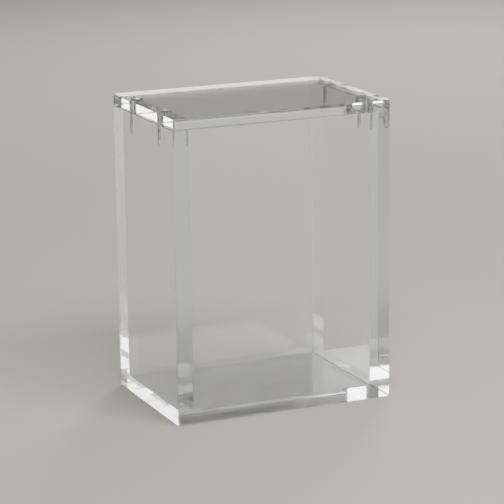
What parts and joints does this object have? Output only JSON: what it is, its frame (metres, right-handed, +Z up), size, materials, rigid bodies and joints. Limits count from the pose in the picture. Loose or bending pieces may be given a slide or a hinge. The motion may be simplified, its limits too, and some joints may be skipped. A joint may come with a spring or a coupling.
{
  "type": "display case",
  "caption": "Clear acrylic display case: a tall open-topped box of cemented polished panels on a full-footprint base, closed by a flat lid held with countersunk screws.",
  "frame": {"origin": "centre of the base plate's underside, the plane that the case stands on", "axes": "+Z up through the lid, +X to the right along the width, -Y towards the front"},
  "size_m": [0.1, 0.069, 0.132],
  "materials": {
    "clear_acrylic": "clear cast acrylic sheet with diamond-polished edges",
    "screw_steel": "bright stainless steel, turned and thread-rolled"
  },
  "bodies": {
    "case": {"base_plate": "clear_acrylic", "left_wall": "clear_acrylic", "right_wall": "clear_acrylic", "front_wall": "clear_acrylic", "back_wall": "clear_acrylic"},
    "lid": {"lid_plate": "clear_acrylic"},
    "screw_front_left": {"screw_front_left": "screw_steel"},
    "screw_front_right": {"screw_front_right": "screw_steel"},
    "screw_back_left": {"screw_back_left": "screw_steel"},
    "screw_back_right": {"screw_back_right": "screw_steel"}
  },
  "joints": [
    {"name": "lid_lift", "type": "slide", "parent": "case", "child": "lid", "axis": [0, 0, 1], "range_m": [0, 0.05]},
    {"name": "screw_front_left_out", "type": "slide", "parent": "lid", "child": "screw_front_left", "axis": [0, 0, 1], "range_m": [0, 0.014]},
    {"name": "screw_front_right_out", "type": "slide", "parent": "lid", "child": "screw_front_right", "axis": [0, 0, 1], "range_m": [0, 0.014]},
    {"name": "screw_back_left_out", "type": "slide", "parent": "lid", "child": "screw_back_left", "axis": [0, 0, 1], "range_m": [0, 0.014]},
    {"name": "screw_back_right_out", "type": "slide", "parent": "lid", "child": "screw_back_right", "axis": [0, 0, 1], "range_m": [0, 0.014]}
  ]
}
